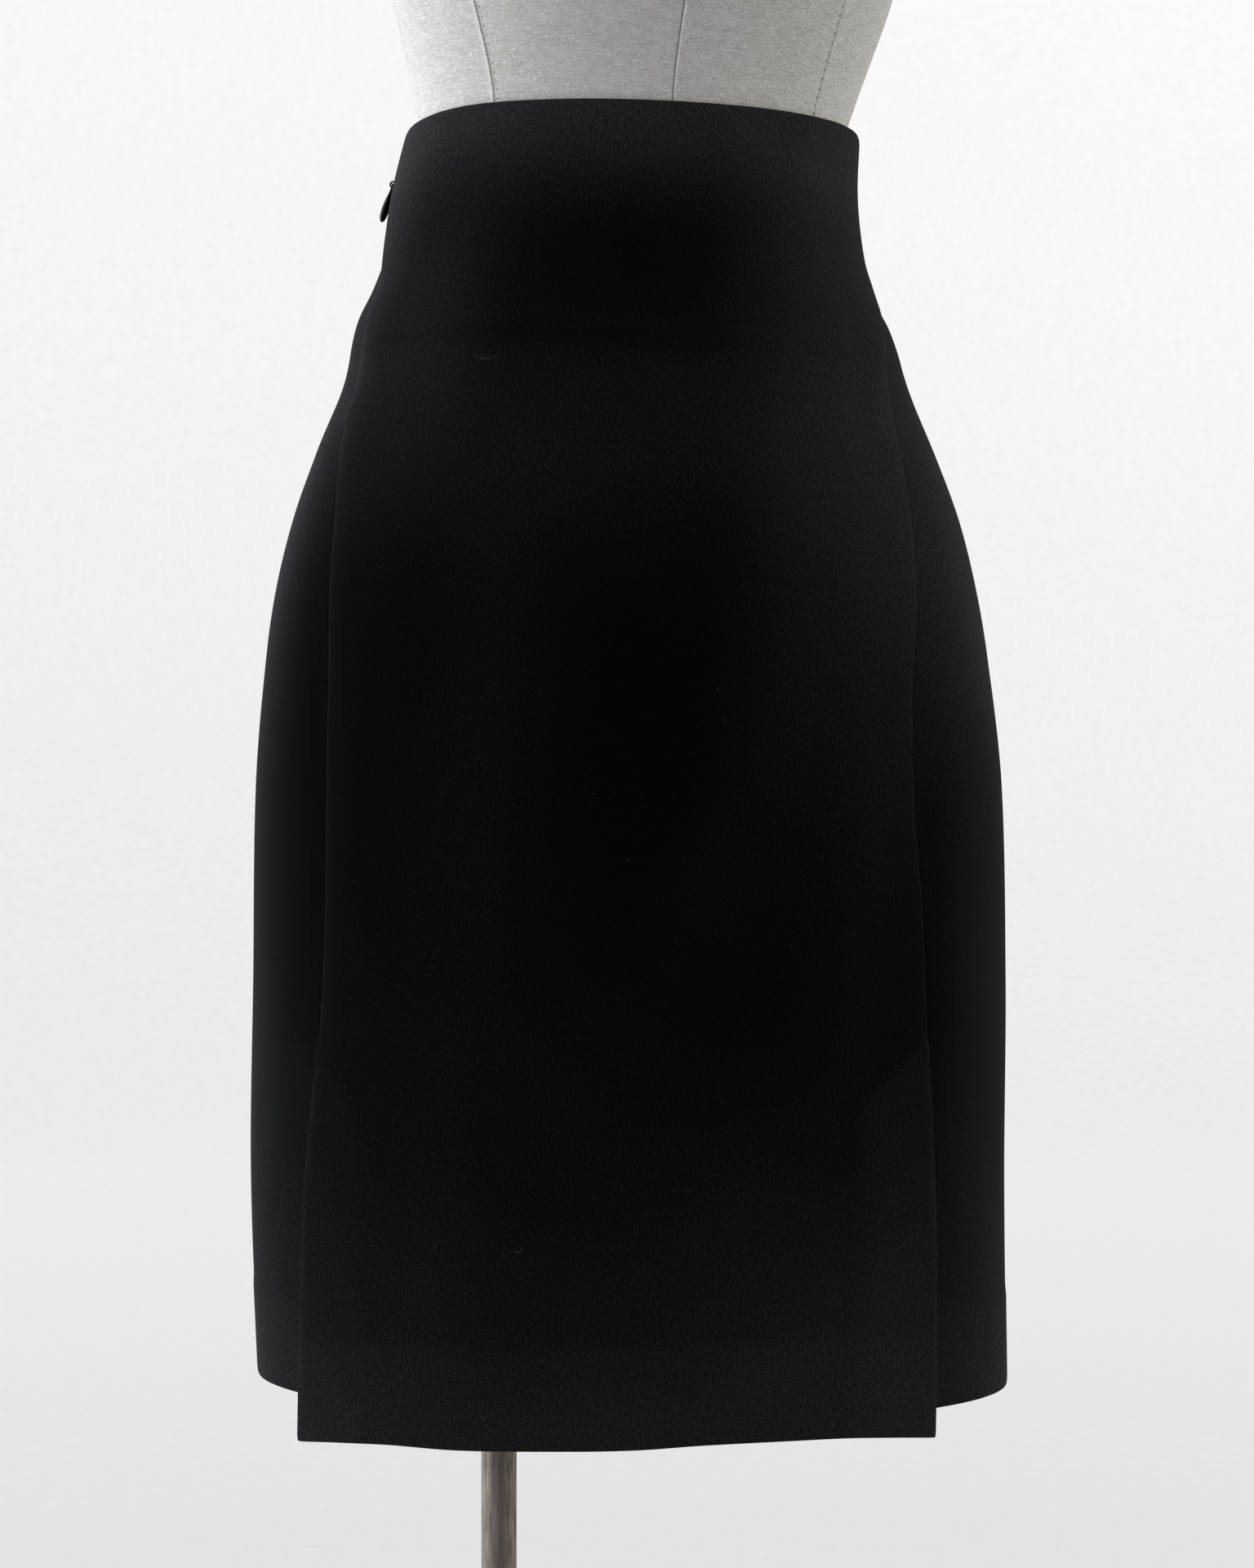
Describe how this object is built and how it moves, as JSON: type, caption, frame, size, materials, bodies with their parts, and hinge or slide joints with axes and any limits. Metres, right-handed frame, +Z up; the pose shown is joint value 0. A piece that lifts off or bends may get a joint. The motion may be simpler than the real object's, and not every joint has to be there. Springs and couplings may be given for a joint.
{
  "type": "pencil skirt on a dress form",
  "caption": "High-waisted pencil skirt with side vents and an invisible side zip, shown on a limbless linen dress form that stands on a pole and a round base.",
  "frame": {"origin": "on the floor, at the middle of the base's underside", "axes": "+Z up along the pole, skirt's front towards -Y, +X to the right for someone who faces the front"},
  "size_m": [0.462, 0.38, 1.504],
  "materials": {
    "black_wool": "matt black wool crepe",
    "zip_tape": "black woven polyester tape",
    "zip_metal": "dark nickel plate",
    "linen": "undyed slubby linen, stretched and stitched",
    "satin_steel": "satin",
    "base_enamel": "white satin enamel on steel"
  },
  "bodies": {
    "skirt_and_form": {"front_panel": "black_wool", "back_panel": "black_wool", "zip_tape": "zip_tape", "zip_slider": "zip_metal", "form_body": "linen", "form_collar": "satin_steel", "pole": "satin_steel", "base_socket": "satin_steel", "base_plate": "base_enamel"},
    "zip_pull": {"zip_pull": "zip_metal"}
  },
  "joints": [
    {"name": "zip_pull_swing", "type": "hinge", "parent": "skirt_and_form", "child": "zip_pull", "pos_m": [-0.05683, -0.00128, 1.04255], "axis": [0.1397, 0.9902, 0], "range_deg": [-6, 137]}
  ]
}
